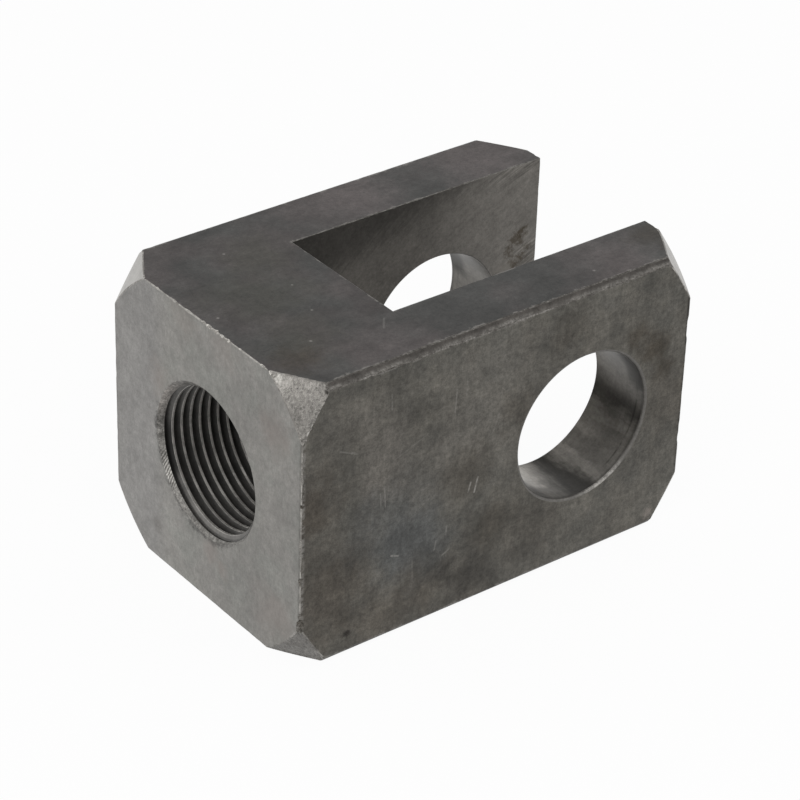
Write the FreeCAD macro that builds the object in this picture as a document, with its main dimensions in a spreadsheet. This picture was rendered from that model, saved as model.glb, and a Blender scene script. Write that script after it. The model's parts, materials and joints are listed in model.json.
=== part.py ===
"""Threaded rod clevis: a fork head machined from square steel bar.

The clevis lies on one flat side with +Z up.
The origin is the centre of the pin bore. +Y runs along the pin bore, and +X runs along the
thread's axis, from the solid end towards the open end of the fork.
Every length is in millimetres and every angle in degrees.
"""
import FreeCAD, Part
import enum
import math
import os

import Sketcher

NODE = "clevis"

# Driving sizes: alias, value, what it measures
SIZES = [
    ("bar_side", 58.0, "side of the square bar"),
    ("bar_edge_bevel", 1.1, "leg of the bevel along the bar's four long edges"),
    ("solid_end_length", 29.5, "threaded face to slot floor"),
    ("slot_depth", 58.5, "slot floor to fork end"),
    ("slot_width", 30.2, "gap between the arms"),
    ("pin_to_fork_end", 24.5, "pin bore's axis to fork end"),
    ("pin_bore_diameter", 30.0, "bore across both arms"),
    ("pin_bore_outer_chamfer", 0.5, "edge break where the bore meets the outer sides"),
    ("pin_bore_inner_chamfer", 0.3, "edge break where the bore meets the slot"),
    ("tapping_bore_diameter", 28.0, "bore that the thread is cut in, for M30x2"),
    ("thread_mouth_step", 1.5, "how far the countersunk mouth stands out round that bore"),
    ("thread_mouth_angle", 90.0, "full angle of that countersink"),
    ("thread_exit_chamfer", 0.6, "edge break where the bore meets the slot floor"),
    ("threaded_face_circle", 69.3, "circle that the turned chamfer leaves on the threaded face"),
    ("fork_face_circle", 69.3, "circle that the turned chamfer leaves on the fork end"),
    ("corner_chamfer_angle", 45.0, "turned corner chamfers, against the bar's axis"),
]

# Places that follow from the driving sizes
THREADED_FACE_X = "sizes.pin_to_fork_end - sizes.slot_depth - sizes.solid_end_length"
SLOT_FLOOR_X = "sizes.pin_to_fork_end - sizes.slot_depth"
FORK_END_X = "sizes.pin_to_fork_end"
BAR_LENGTH = "sizes.slot_depth + sizes.solid_end_length"
BAR_CORNER_RADIUS = "sizes.bar_side / sqrt(2)"
THREAD_MOUTH_DIAMETER = "sizes.tapping_bore_diameter + 2 * sizes.thread_mouth_step"


class Spot(enum.IntEnum):
    """Which point of a line or circle a sketch's constraint holds."""
    START = 1
    END = 2
    CENTRE = 3


class Axis(enum.IntEnum):
    """A sketch's own axes."""
    LEVEL = -1
    UPRIGHT = -2


# A sketch's origin
ROOT_POINT = (Axis.LEVEL, Spot.START)


def add_sheet(doc):
    """Put the driving sizes in a spreadsheet, one row each."""
    sheet = doc.addObject("Spreadsheet::Sheet", "sizes")
    for row, (alias, value, meaning) in enumerate(SIZES, start=1):
        sheet.set(f"A{row}", meaning)
        sheet.set(f"B{row}", str(value))
        sheet.setAlias(f"B{row}", alias)
    doc.recompute()
    return sheet


def add_sketch(body, name, role, distance=None):
    """Start a sketch on one of the body's own planes, at an optional distance along its normal."""
    plane = next(item for item in body.Origin.OriginFeatures if item.Role == role)
    sketch = body.newObject("Sketcher::SketchObject", name)
    sketch.AttachmentSupport = [(plane, "")]
    sketch.MapMode = "FlatFace"
    if distance:
        sketch.setExpression("AttachmentOffset.Base.z", distance)
    return sketch


def add_loop(sketch, points):
    """Draw a closed loop of straight lines through the points and join their ends."""
    corners = [FreeCAD.Vector(across, up, 0) for across, up in points]
    lines = []
    for start, end in zip(corners, corners[1:] + corners[:1]):
        lines.append(sketch.addGeometry(Part.LineSegment(start, end), False))
    for line, following in zip(lines, lines[1:] + lines[:1]):
        sketch.addConstraint(Sketcher.Constraint("Coincident", line, Spot.END, following, Spot.START))
    return lines


def dimension(sketch, name, kind, *references, size):
    """Add a named dimension and tie it to an expression on the driving sizes."""
    value = sketch.evalExpression(size)
    if kind == "Angle":
        value = math.radians(value)
    index = sketch.addConstraint(Sketcher.Constraint(kind, *references, value))
    sketch.renameConstraint(index, name)
    sketch.setExpression(f"Constraints.{name}", size)


def set_upright(sketch, horizontal, vertical):
    """Hold lines level or upright."""
    for line in horizontal:
        sketch.addConstraint(Sketcher.Constraint("Horizontal", line))
    for line in vertical:
        sketch.addConstraint(Sketcher.Constraint("Vertical", line))


def add_bar(body, sizes):
    """Pad the bevelled square section along the whole length."""
    sketch = add_sketch(body, "bar_section", "YZ_Plane", THREADED_FACE_X)
    half = sizes.bar_side / 2
    flat = half - sizes.bar_edge_bevel
    lines = add_loop(sketch, [
        (-flat, -half), (flat, -half), (half, -flat), (half, flat),
        (flat, half), (-flat, half), (-half, flat), (-half, -flat),
    ])
    bottom, _, right, _, top, _, left, _ = lines
    bevels = lines[1::2]
    set_upright(sketch, [bottom, top], [right, left])
    sketch.addConstraint(Sketcher.Constraint("Symmetric", bottom, Spot.START, top, Spot.START, *ROOT_POINT))
    sketch.addConstraint(Sketcher.Constraint("Symmetric", right, Spot.START, left, Spot.START, *ROOT_POINT))
    dimension(sketch, "height", "DistanceY", bottom, Spot.START, top, Spot.START, size="sizes.bar_side")
    dimension(sketch, "width", "DistanceX", left, Spot.START, right, Spot.START, size="sizes.bar_side")
    dimension(sketch, "bevel_across", "DistanceX", bevels[0], Spot.START, bevels[0], Spot.END,
              size="sizes.bar_edge_bevel")
    dimension(sketch, "bevel_up", "DistanceY", bevels[0], Spot.START, bevels[0], Spot.END,
              size="sizes.bar_edge_bevel")
    dimension(sketch, "far_bevel_across", "DistanceX", bevels[1], Spot.END, bevels[1], Spot.START,
              size="sizes.bar_edge_bevel")
    dimension(sketch, "far_bevel_up", "DistanceY", bevels[1], Spot.START, bevels[1], Spot.END,
              size="sizes.bar_edge_bevel")
    pad = body.newObject("PartDesign::Pad", "bar")
    pad.Profile = sketch
    pad.setExpression("Length", BAR_LENGTH)
    return pad


def add_turned_chamfer(body, sizes, name, face_x, face_circle, into_bar):
    """Turn the bar's four corners down to a cone, from the circle left on an end face.

    into_bar is 1 where the bar lies towards +X of the face and -1 where it lies towards -X.
    """
    sketch = add_sketch(body, f"{name}_section", "XZ_Plane")
    sketch.setExpression("AttachmentOffset.Base.x", face_x)
    inner = sizes.getPropertyByName(face_circle) / 2
    outer = sizes.bar_side / math.sqrt(2)
    run = (outer - inner) / math.tan(math.radians(sizes.corner_chamfer_angle))
    face, rim, cone = add_loop(sketch, [(0, inner), (0, outer), (into_bar * run, outer)])
    set_upright(sketch, [rim], [face])
    sketch.addConstraint(Sketcher.Constraint("PointOnObject", face, Spot.START, Axis.UPRIGHT))
    dimension(sketch, "circle_radius", "DistanceY", *ROOT_POINT, face, Spot.START,
              size=f"sizes.{face_circle} / 2")
    dimension(sketch, "corner_radius", "DistanceY", *ROOT_POINT, face, Spot.END, size=BAR_CORNER_RADIUS)
    sides = [(rim, Spot.END), (cone, Spot.START)][::into_bar]
    dimension(sketch, "cone_angle", "Angle", *sides[0], *sides[1], size="sizes.corner_chamfer_angle")
    groove = body.newObject("PartDesign::Groove", name)
    groove.Profile = sketch
    groove.ReferenceAxis = (sketch, ["H_Axis"])
    groove.Angle = 360
    return groove


def add_tapping_bore(body):
    """Drill the bore for the thread from the threaded face, with its countersunk mouth.

    It reaches half a slot's width past the slot floor, so the slot opens it.
    """
    sketch = add_sketch(body, "thread_axis", "YZ_Plane", THREADED_FACE_X)
    circle = sketch.addGeometry(Part.Circle(FreeCAD.Vector(), FreeCAD.Vector(0, 0, 1), 1), False)
    sketch.addConstraint(Sketcher.Constraint("Coincident", circle, Spot.CENTRE, *ROOT_POINT))
    dimension(sketch, "bore", "Diameter", circle, size="sizes.tapping_bore_diameter")
    body.Document.recompute()
    hole = body.newObject("PartDesign::Hole", "tapping_bore")
    hole.Profile = sketch
    body.Document.recompute()
    hole.Reversed = True
    hole.DepthType = "Dimension"
    hole.DrillPoint = "Flat"
    hole.HoleCutType = "Countersink"
    hole.HoleCutCustomValues = True
    hole.setExpression("Diameter", "sizes.tapping_bore_diameter")
    hole.setExpression("Depth", "sizes.solid_end_length + sizes.slot_width / 2")
    hole.setExpression("HoleCutDiameter", THREAD_MOUTH_DIAMETER)
    hole.setExpression("HoleCutCountersinkAngle", "sizes.thread_mouth_angle")
    return hole


def add_slot(body, sizes):
    """Mill the slot between the arms, open above, below and at the fork end."""
    sketch = add_sketch(body, "slot_outline", "XY_Plane")
    floor_x = sizes.pin_to_fork_end - sizes.slot_depth
    past_end_x = sizes.pin_to_fork_end + sizes.slot_width / 2
    half = sizes.slot_width / 2
    near, past, far, _ = add_loop(sketch, [
        (floor_x, -half), (past_end_x, -half), (past_end_x, half), (floor_x, half),
    ])
    set_upright(sketch, [near, far], [past])
    sketch.addConstraint(Sketcher.Constraint("Symmetric", near, Spot.START, far, Spot.END, Axis.LEVEL))
    dimension(sketch, "width", "DistanceY", near, Spot.START, far, Spot.END, size="sizes.slot_width")
    dimension(sketch, "floor", "DistanceX", near, Spot.START, *ROOT_POINT,
              size="sizes.slot_depth - sizes.pin_to_fork_end")
    dimension(sketch, "cutter_exit", "DistanceX", near, Spot.START, near, Spot.END,
              size="sizes.slot_depth + sizes.slot_width / 2")
    pocket = body.newObject("PartDesign::Pocket", "slot")
    pocket.Profile = sketch
    pocket.Type = "ThroughAll"
    pocket.SideType = "Symmetric"
    return pocket


def add_thread_exit(body, sizes):
    """Countersink the thread's rim at the slot floor."""
    sketch = add_sketch(body, "thread_exit_section", "XZ_Plane")
    sketch.setExpression("AttachmentOffset.Base.x", SLOT_FLOOR_X)
    bore = sizes.tapping_bore_diameter / 2
    step = sizes.thread_exit_chamfer
    floor, _, wall = add_loop(sketch, [(0, bore), (0, bore + step), (-step, bore)])
    set_upright(sketch, [wall], [floor])
    sketch.addConstraint(Sketcher.Constraint("PointOnObject", floor, Spot.START, Axis.UPRIGHT))
    dimension(sketch, "bore_radius", "DistanceY", *ROOT_POINT, floor, Spot.START,
              size="sizes.tapping_bore_diameter / 2")
    dimension(sketch, "step_out", "DistanceY", floor, Spot.START, floor, Spot.END,
              size="sizes.thread_exit_chamfer")
    dimension(sketch, "step_in", "DistanceX", wall, Spot.START, wall, Spot.END,
              size="sizes.thread_exit_chamfer")
    groove = body.newObject("PartDesign::Groove", "thread_exit")
    groove.Profile = sketch
    groove.ReferenceAxis = (sketch, ["H_Axis"])
    groove.Angle = 360
    return groove


def add_pin_bore(body):
    """Bore both arms for the pin."""
    sketch = add_sketch(body, "pin_axis", "XZ_Plane")
    circle = sketch.addGeometry(Part.Circle(FreeCAD.Vector(), FreeCAD.Vector(0, 0, 1), 1), False)
    sketch.addConstraint(Sketcher.Constraint("Coincident", circle, Spot.CENTRE, *ROOT_POINT))
    dimension(sketch, "bore", "Diameter", circle, size="sizes.pin_bore_diameter")
    pocket = body.newObject("PartDesign::Pocket", "pin_bore")
    pocket.Profile = sketch
    pocket.Type = "ThroughAll"
    pocket.SideType = "Symmetric"
    return pocket


def rim_edges(feature, radius, distances):
    """Name the feature's full circles of this radius about +Y, centred at these distances along it."""
    tolerance = 1e-4
    names = []
    for number, edge in enumerate(feature.Shape.Edges, start=1):
        if not isinstance(edge.Curve, Part.Circle) or abs(edge.Curve.Radius - radius) > tolerance:
            continue
        if any(abs(edge.Curve.Center.y - distance) < tolerance for distance in distances):
            names.append(f"Edge{number}")
    return names


def add_rim_break(body, name, base, radius, distance, size):
    """Chamfer the pin bore's two rims that lie this distance to either side of the middle."""
    edges = rim_edges(base, radius, [-distance, distance])
    if len(edges) != 2:
        raise RuntimeError(f"{name}: {len(edges)} rims found, 2 expected")
    chamfer = body.newObject("PartDesign::Chamfer", name)
    chamfer.Base = (base, edges)
    chamfer.setExpression("Size", size)
    body.Document.recompute()
    return chamfer


def add_clevis(doc, sizes):
    """Build the clevis in the order it is machined."""
    body = doc.addObject("PartDesign::Body", NODE)
    body.Label = NODE
    add_bar(body, sizes)
    add_turned_chamfer(body, sizes, "threaded_end_chamfer", THREADED_FACE_X,
                       "threaded_face_circle", 1)
    add_turned_chamfer(body, sizes, "fork_end_chamfer", FORK_END_X, "fork_face_circle", -1)
    add_tapping_bore(body)
    add_slot(body, sizes)
    add_thread_exit(body, sizes)
    pin_bore = add_pin_bore(body)
    doc.recompute()
    pin_radius = sizes.pin_bore_diameter / 2
    outer_break = add_rim_break(body, "pin_bore_outer_break", pin_bore, pin_radius,
                                sizes.bar_side / 2, "sizes.pin_bore_outer_chamfer")
    add_rim_break(body, "pin_bore_inner_break", outer_break, pin_radius,
                  sizes.slot_width / 2, "sizes.pin_bore_inner_chamfer")
    return body


def check(doc, body):
    """Stop if a feature failed, removed nothing, or left anything but one sound solid."""
    for item in doc.Objects:
        if "Invalid" in item.State or "Error" in item.State:
            raise RuntimeError(f"{item.Label} failed: {item.State}")
    if body.Shape.isNull() or not body.Shape.isValid() or len(body.Shape.Solids) != 1:
        raise RuntimeError(f"{body.Label} isn't one valid solid")
    volume = math.inf
    for feature in body.Group:
        if feature.isDerivedFrom("PartDesign::Feature"):
            if feature.Shape.Volume >= volume:
                raise RuntimeError(f"{feature.Label} removed nothing")
            volume = feature.Shape.Volume


def main():
    doc = FreeCAD.newDocument("rod_clevis")
    sizes = add_sheet(doc)
    body = add_clevis(doc, sizes)
    doc.recompute()
    check(doc, body)
    os.makedirs("parts", exist_ok=True)
    body.Shape.exportStep(os.path.join("parts", f"{body.Label}.step"))
    box = body.Shape.optimalBoundingBox(False)
    print(f"{body.Label}: {body.Shape.Volume:.0f} mm3, X {box.XMin:.2f} to {box.XMax:.2f}, "
          f"Y {box.YMin:.2f} to {box.YMax:.2f}, Z {box.ZMin:.2f} to {box.ZMax:.2f}")


main()
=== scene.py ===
"""Threaded rod clevis: the fork head's cut thread, worn edges and steel finish.

Every length is in metres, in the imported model's own frame: the origin is the middle of the pin
bore, +X runs along the thread's axis to the open end of the fork, +Y along the pin bore, +Z up.
Patterns on the steel are in millimetres.
"""

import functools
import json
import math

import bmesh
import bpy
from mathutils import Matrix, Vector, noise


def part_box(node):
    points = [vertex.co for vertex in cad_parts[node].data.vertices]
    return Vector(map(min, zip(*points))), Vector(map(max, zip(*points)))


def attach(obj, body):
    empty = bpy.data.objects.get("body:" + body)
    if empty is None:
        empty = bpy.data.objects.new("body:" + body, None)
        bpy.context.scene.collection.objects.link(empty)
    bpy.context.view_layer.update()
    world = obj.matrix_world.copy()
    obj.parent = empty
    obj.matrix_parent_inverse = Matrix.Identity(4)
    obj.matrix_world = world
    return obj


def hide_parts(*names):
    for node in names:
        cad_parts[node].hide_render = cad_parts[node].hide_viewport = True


bl_info = {
    "name": "Threaded Rod Clevis",
    "version": (1, 0, 0),
    "blender": (4, 5, 0),
    "location": "3D View > Sidebar > Clevis",
    "description": "Models a threaded fork head with its cut thread, worn edges and steel finish",
    "category": "Add Mesh",
}

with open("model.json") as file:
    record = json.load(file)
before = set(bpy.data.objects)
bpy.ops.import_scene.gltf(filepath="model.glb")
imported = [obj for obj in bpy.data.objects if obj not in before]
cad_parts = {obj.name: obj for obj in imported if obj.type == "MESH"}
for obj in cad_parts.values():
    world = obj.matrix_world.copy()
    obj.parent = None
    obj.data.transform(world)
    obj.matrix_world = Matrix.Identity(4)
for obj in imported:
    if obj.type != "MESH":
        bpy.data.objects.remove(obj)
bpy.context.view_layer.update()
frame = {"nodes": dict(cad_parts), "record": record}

NODE = "clevis"
PIECE = "clevis_steel"
MM = 0.001
TOUCH = 0.01 * MM

# How far a cutting tool starts outside the steel
CLEAR = 2 * MM

# Slope of the thread's flanks
FLANK_SLOPE = math.tan(math.radians(30))


def from_axis(point):
    """A point's distance from the thread's axis."""
    return math.hypot(point.y, point.z)


def from_pin(point):
    """A point's distance from the pin bore's axis."""
    return math.hypot(point.x, point.z)


def near(value, target):
    """Whether two lengths agree."""
    return abs(value - target) < TOUCH


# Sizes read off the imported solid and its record
LOW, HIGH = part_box(NODE)
MIDDLE = (LOW + HIGH) / 2
CORNERS = [vertex.co.copy() for vertex in frame["nodes"][NODE].data.vertices]
ON_TOP = [corner for corner in CORNERS if near(corner.z, HIGH.z)]
ON_THREADED_FACE = [corner for corner in CORNERS if near(corner.x, LOW.x)]
ON_FORK_END = [corner for corner in CORNERS if near(corner.x, HIGH.x)]
SLOT_HALF = min(abs(corner.y) for corner in ON_TOP)
SLOT_FLOOR = min(corner.x for corner in ON_TOP if near(abs(corner.y), SLOT_HALF))
EDGE_BEVEL = HIGH.y - max(corner.y for corner in ON_TOP)
THREADED_FACE_RADIUS = max(from_axis(corner) for corner in ON_THREADED_FACE)
FORK_END_RADIUS = max(from_axis(corner) for corner in ON_FORK_END)
MOUTH_RADIUS = min(from_axis(corner) for corner in ON_THREADED_FACE)
MOUNTS = {mount["name"]: mount for mount in frame["record"]["mounts"]}
PIN_RADIUS = MOUNTS["pin_bore"]["dims"]["r_mm"] * MM
BORE_RADIUS = MOUNTS["rod_thread"]["dims"]["r_mm"] * MM

# The same in millimetres, for the patterns on the steel
FACE_END, FORK_END, HALF_SIDE = LOW.x / MM, HIGH.x / MM, HIGH.y / MM
SLOT_END, SLOT_SIDE = SLOT_FLOOR / MM, SLOT_HALF / MM


def length(name, description, default):
    """A length that a user can set, in metres."""
    return bpy.props.FloatProperty(name=name, description=description, default=default,
                                   unit="LENGTH", precision=5)


def angle(name, description, degrees):
    """An angle that a user can set."""
    return bpy.props.FloatProperty(name=name, description=description,
                                   default=math.radians(degrees), subtype="ANGLE", precision=4)


def colour(name, description, default):
    """A colour that a user can set, in linear red, green and blue."""
    return bpy.props.FloatVectorProperty(name=name, description=description, default=default,
                                         size=3, min=0, max=1, subtype="COLOR")


def number(name, description, default):
    """A plain number that a user can set."""
    return bpy.props.FloatProperty(name=name, description=description, default=default, min=0)


class ClevisSizes(bpy.types.PropertyGroup):
    """Sizes of the thread, the rims and the wear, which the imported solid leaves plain."""
    pin_outer_break: length("Outer rim break", "Chamfer of the pin bore outside", 0.5 * MM)
    pin_inner_break: length("Inner rim break", "Chamfer of the pin bore in the slot", 0.15 * MM)
    exit_break: length("Thread exit break", "Chamfer of the thread at the slot floor", 0.6 * MM)
    pitch: length("Thread pitch", "Advance of the thread in one turn", 2 * MM)
    thread_depth: length("Thread depth", "From the thread's crests out to its roots", 1.02 * MM)
    root_flat: length("Root flat", "Width of the flat at the thread's root", 0.4 * MM)
    first_crest: length("First crest", "Threaded face to the first whole crest, on the +Y side",
                        2.42 * MM)
    edge_break: length("Edge break", "Width of the small break on every outer edge", 0.12 * MM)
    wear_spacing: length("Wear spacing", "Distance between the points that wear moves", 0.6 * MM)
    wear_depth: length("Wear depth", "How far wear eats into the outside edges at most", 0.24 * MM)
    slot_wear: number("Slot wear", "Wear of the slot's edges, as a share of the outside ones", 0.25)
    batter: length("Batter", "Height of the rough relief on the battered corners", 0.3 * MM)


class ClevisColours(bpy.types.PropertyGroup):
    """Colours of the steel's finishes."""
    side: colour("Drawn side", "The bar's own dark sides", (0.096, 0.092, 0.082))
    side_warm: colour("Warm side", "Brownish patches on the sides", (0.106, 0.099, 0.086))
    top: colour("Drawn top", "The bar's own top and bottom", (0.061, 0.0605, 0.058))
    top_warm: colour("Warm top", "Warmer patches on the top and bottom", (0.071, 0.064, 0.062))
    bevel: colour("Bevels", "The bar's narrow long bevels", (0.06, 0.055, 0.05))
    faced: colour("Faced end", "The machined ends", (0.268, 0.259, 0.243))
    faced_green: colour("Tinted face", "Faintly green patches on the ends",
                        (0.258, 0.256, 0.238))
    turned: colour("Turned corners", "The turned corner chamfers", (0.38, 0.37, 0.35))
    # Painted shade on the turned corners on the -Y side of the threaded end
    turned_shaded: colour("Dull corners", "The handled corners at the threaded end",
                        (0.19, 0.185, 0.17))
    battered: colour("Battered corners", "The rough corners at the threaded end",
                     (0.215, 0.205, 0.19))
    milled: colour("Milled slot", "The slot's walls", (0.133, 0.125, 0.114))
    bored: colour("Bored wall", "The pin bore's wall", (0.13, 0.123, 0.112))
    rim: colour("Pin rim", "The pin bore's broken rims", (0.125, 0.119, 0.11))
    thread: colour("Cut thread", "The thread just beside its crests", (0.075, 0.072, 0.067))
    root: colour("Greasy thread", "The thread's flanks and roots", (0.05, 0.048, 0.045))
    crest: colour("Thread crests", "The rubbed crests of the thread", (0.56, 0.54, 0.51))
    # Also lays painted shade on the slot's walls and towards the pin bore's outer ends
    grease_and_shade: colour("Grease", "Old dark grease round the holes", (0.036, 0.034, 0.031))
    worn: colour("Dull edges", "Edge breaks between the bright stretches", (0.20, 0.19, 0.175))
    rubbed: colour("Rubbed edges", "Steel rubbed lighter beside an edge", (0.22, 0.21, 0.195))
    # Also lays the painted glints on the battered corners and the front top edge, and the painted
    # highlight on the pin rims
    bare_and_glint: colour("Bare steel", "Bright steel in fresh nicks and scratches", (0.40, 0.385, 0.36))


class ClevisStage(bpy.types.PropertyGroup):
    """Camera and light."""
    azimuth: angle("Azimuth", "Turn of the view from straight along +Y towards +X", 38.4125)
    elevation: angle("Elevation", "Height of the camera above the level", 31.8189)
    roll: angle("Roll", "Turn of the camera about its line of sight", 1.9439)
    distance: length("Distance", "Camera to the clevis's middle, along the line of sight",
                     584.09 * MM)
    right: length("Right", "How far the clevis's middle stands right of the picture's",
                  0.277 * MM)
    above: length("Above", "How far the clevis's middle stands above the picture's", 1.887 * MM)
    lens: bpy.props.FloatProperty(name="Lens", description="Focal length on a 36 mm sensor",
                                  default=141.744, unit="CAMERA")
    key: number("Key light", "Power of the lamp over the threaded end, in watts", 2.0)
    fill: number("Fill light", "Power of the lamp on the side with the near arm, in watts", 1.0)
    room: number("Room light", "Strength of the even light from all round", 0.6)


# The lamps' places and size and the floor's size in metres, its grey, and how white it shows
KEY_PLACE = (-0.55, -0.35, 0.6)
FILL_PLACE = (0.5, -0.6, 0.35)
LAMP_SIZE = 0.5
FLOOR_SIZE = 8
FLOOR_GREY = 0.9
FLOOR_WHITENESS = 0.95

# Tints of the stains, in linear red, green and blue
PALE = (0.15, 0.139, 0.124)
BLUISH = (0.079, 0.082, 0.082)
BROWN = (0.05, 0.041, 0.03)
DUN = (0.066, 0.056, 0.045)
RUSTY = (0.25, 0.215, 0.195)
DARK = (0.03, 0.027, 0.024)
OLIVE = (0.062, 0.06, 0.05)
PLUM = (0.11, 0.096, 0.094)
DULL = (0.263, 0.256, 0.246)

# Marks on the steel: places and sizes in millimetres, and most with a share of full strength
SIDE_STAINS = (
    ((-41, -29, -9), 15, 0.75, BLUISH), ((-45, -29, -2), 8, 0.4, BLUISH),
    ((-24, -29, 12), 18, 0.35, PALE), ((-53, -29, 20), 9, 0.25, PALE),
    ((-36, -29, 2), 9, 0.3, PALE), ((16, -29, 11), 5.5, 0.75, BROWN),
    ((12, -29, 15), 4, 0.65, BROWN), ((19, -29, 6), 3.5, 0.65, BROWN),
    ((-4, -29, 22), 7, 0.35, BROWN), ((-16, -29, 9), 6, 0.35, BROWN),
    ((-27, -29, 0), 8, 0.35, BROWN), ((-21, -29, -13), 7, 0.4, BROWN),
    ((-58, -29, -14), 14, 0.6, DUN), ((-62.5, -29, 5), 10, 0.75, DUN),
    ((-37, -29, -21), 9, 0.5, DUN), ((-47, -29, -24), 8, 0.5, DUN),
    ((-26, -29, -24), 8, 0.6, DARK), ((-32, -29, -19), 4, 0.45, DARK),
    ((-12, -29, -16), 12, 0.3, DUN), ((21, -29, -2), 9, 0.3, DUN),
    ((-53, -29, -24.3), 1.2, 0.9, DARK), ((18, -29, -26), 1.6, 0.4, RUSTY),
)
END_DENT = ((24.0, -29, 19.2), (24.3, -29, 9.5), 0.5)
SIDE_SCRATCHES = (
    ((-24.4, -29, -1.9), (-25.1, -29, -4.8), 0.32, 0.6),
    ((-26.0, -29, -2.4), (-26.5, -29, -4.3), 0.3, 0.45),
    ((-55.5, -29, 14.9), (-51.6, -29, 13.0), 0.25, 0.2),
    ((-52.9, -29, 13.7), (-52.4, -29, 13.5), 0.4, 0.3),
    ((-43.6, -29, -11.4), (-42.0, -29, -12.0), 0.3, 0.4),
    ((-45.5, -29, 3.6), (-45.2, -29, -0.4), 0.25, 0.25),
    ((-46.4, -29, 2.8), (-46.2, -29, 0.2), 0.25, 0.2),
    ((-44.5, -29, 22.5), (-44.4, -29, 19.4), 0.25, 0.2),
    ((-30.1, -29, 18.5), (-30.3, -29, 13.8), 0.25, 0.2),
    ((-31.1, -29, -9.8), (-31.3, -29, -11.6), 0.3, 0.2),
    ((-33.5, -29, -12.2), (-33.8, -29, -13.9), 0.3, 0.22),
    ((-30.3, -29, -15.0), (-32.0, -29, -15.9), 0.3, 0.2),
    ((-43.4, -29, 8.8), (-36.1, -29, 11.6), 0.2, 0.12),
    ((-27.8, -29, 20.0), (-27.9, -29, 16.5), 0.22, 0.14),
    ((-38.8, -29, -14.2), (-38.6, -29, -18.9), 0.22, 0.1),
    ((-21.5, -29, 6.4), (-20.1, -29, 9.9), 0.2, 0.12),
)
TOP_STAINS = (
    ((-50, 3, 29), 13, 0.6, OLIVE), ((-42, 15, 29), 9, 0.6, OLIVE),
    ((-53, -14, 29), 10, 0.6, OLIVE), ((-57.5, -19, 29), 6, 0.6, BROWN),
    ((-61, 17, 29), 7, 0.5, PLUM), ((14, 22, 29), 16, 0.8, PLUM),
    ((-16, 22, 29), 15, 0.9, PLUM), ((10, -22, 29), 14, 0.6, PLUM),
    ((-40, -25, 29), 12, 0.5, PLUM), ((22, -20, 29), 6, 0.5, BROWN),
)
TOP_SPECKS = (
    ((-60.6, 0.2, 29), 0.4), ((-46.8, 18.3, 29), 0.35), ((-51.9, -15.3, 29), 0.4),
    ((-45.5, -6.8, 29), 0.35), ((-43.2, 2.3, 29), 0.3), ((4.5, -24.2, 29), 0.4),
)
TOP_SCRATCH = ((-36.8, -16.2, 29), (-38.9, -18.9, 29), 0.3)
CORNER_STAINS = (((-62.6, -22.5, 27.5), 4.5, 0.3), ((-63.2, -20.7, 28.4), 1.8, 1.0))
CORNER_CRACKS = (((-58.9, -28.2, 28.6), (-58.0, -28.9, 27.2), 0.5),
                 ((-58.2, -28.4, 28.4), (-57.6, -28.8, 27.8), 0.4))
FACE_STAINS = (
    ((-63.5, -1.5, -18), 4, 0.4, RUSTY), ((-63.5, -5.2, -20.1), 2.5, 0.4, RUSTY),
    ((-63.5, 15.9, -21.8), 2.5, 0.3, DUN), ((-63.5, -21, 17), 6, 0.4, RUSTY),
    ((-63.5, -22, -21), 8, 0.35, RUSTY), ((-63.5, 6, 26.5), 6, 0.3, RUSTY),
    ((-63.5, -6, 26.5), 5, 0.3, RUSTY), ((-63.5, 14, 10.5), 5, 0.4, RUSTY),
)
SLOT_STAINS = (
    ((20.6, 15.1, 14.2), 1.6, 0.9, BROWN), ((19.2, 15.1, 12.3), 2.0, 0.8, BROWN),
    ((17.9, 15.1, 10.4), 1.5, 0.7, BROWN), ((20.6, 15.1, 8.6), 1.4, 0.8, BROWN),
    ((18.9, 15.1, 7.6), 1.5, 0.8, BROWN), ((22.4, 15.1, 10.2), 1.0, 0.6, BROWN),
    ((16.6, 15.1, 6.8), 2.6, 0.5, PALE),
)

# Grease round the thread's mouth: direction, full and faded half width in degrees, outermost
# radius in millimetres and share of full strength
MOUTH_SMEARS = ((33, 22, 48, 15.7, 0.9), (-4, 16, 30, 16.2, 1.0), (-62, 12, 32, 16.8, 0.85),
                (-100, 14, 36, 16.6, 0.75))

# Bands of stain and painted reflection along the pin bore: the middle and half width of each in
# degrees, and its factor
BORE_STAIN_AND_REFLECTION_BANDS = ((-84, 17, 0.3), (-36, 22, 1.9), (-111, 17, 2.2), (-66, 7, 1.4), (-24, 12, 1.6),
              (-13, 8, 0.9), (28, 14, 0.85))

# Middle of the arcs that the disc cutter left on the slot's walls, as X and Z in millimetres
CUTTER_CENTRE = (46, -48)

# Degrees between the chatter marks round the thread's mouth
CHATTER_STEP = 2.5

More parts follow.
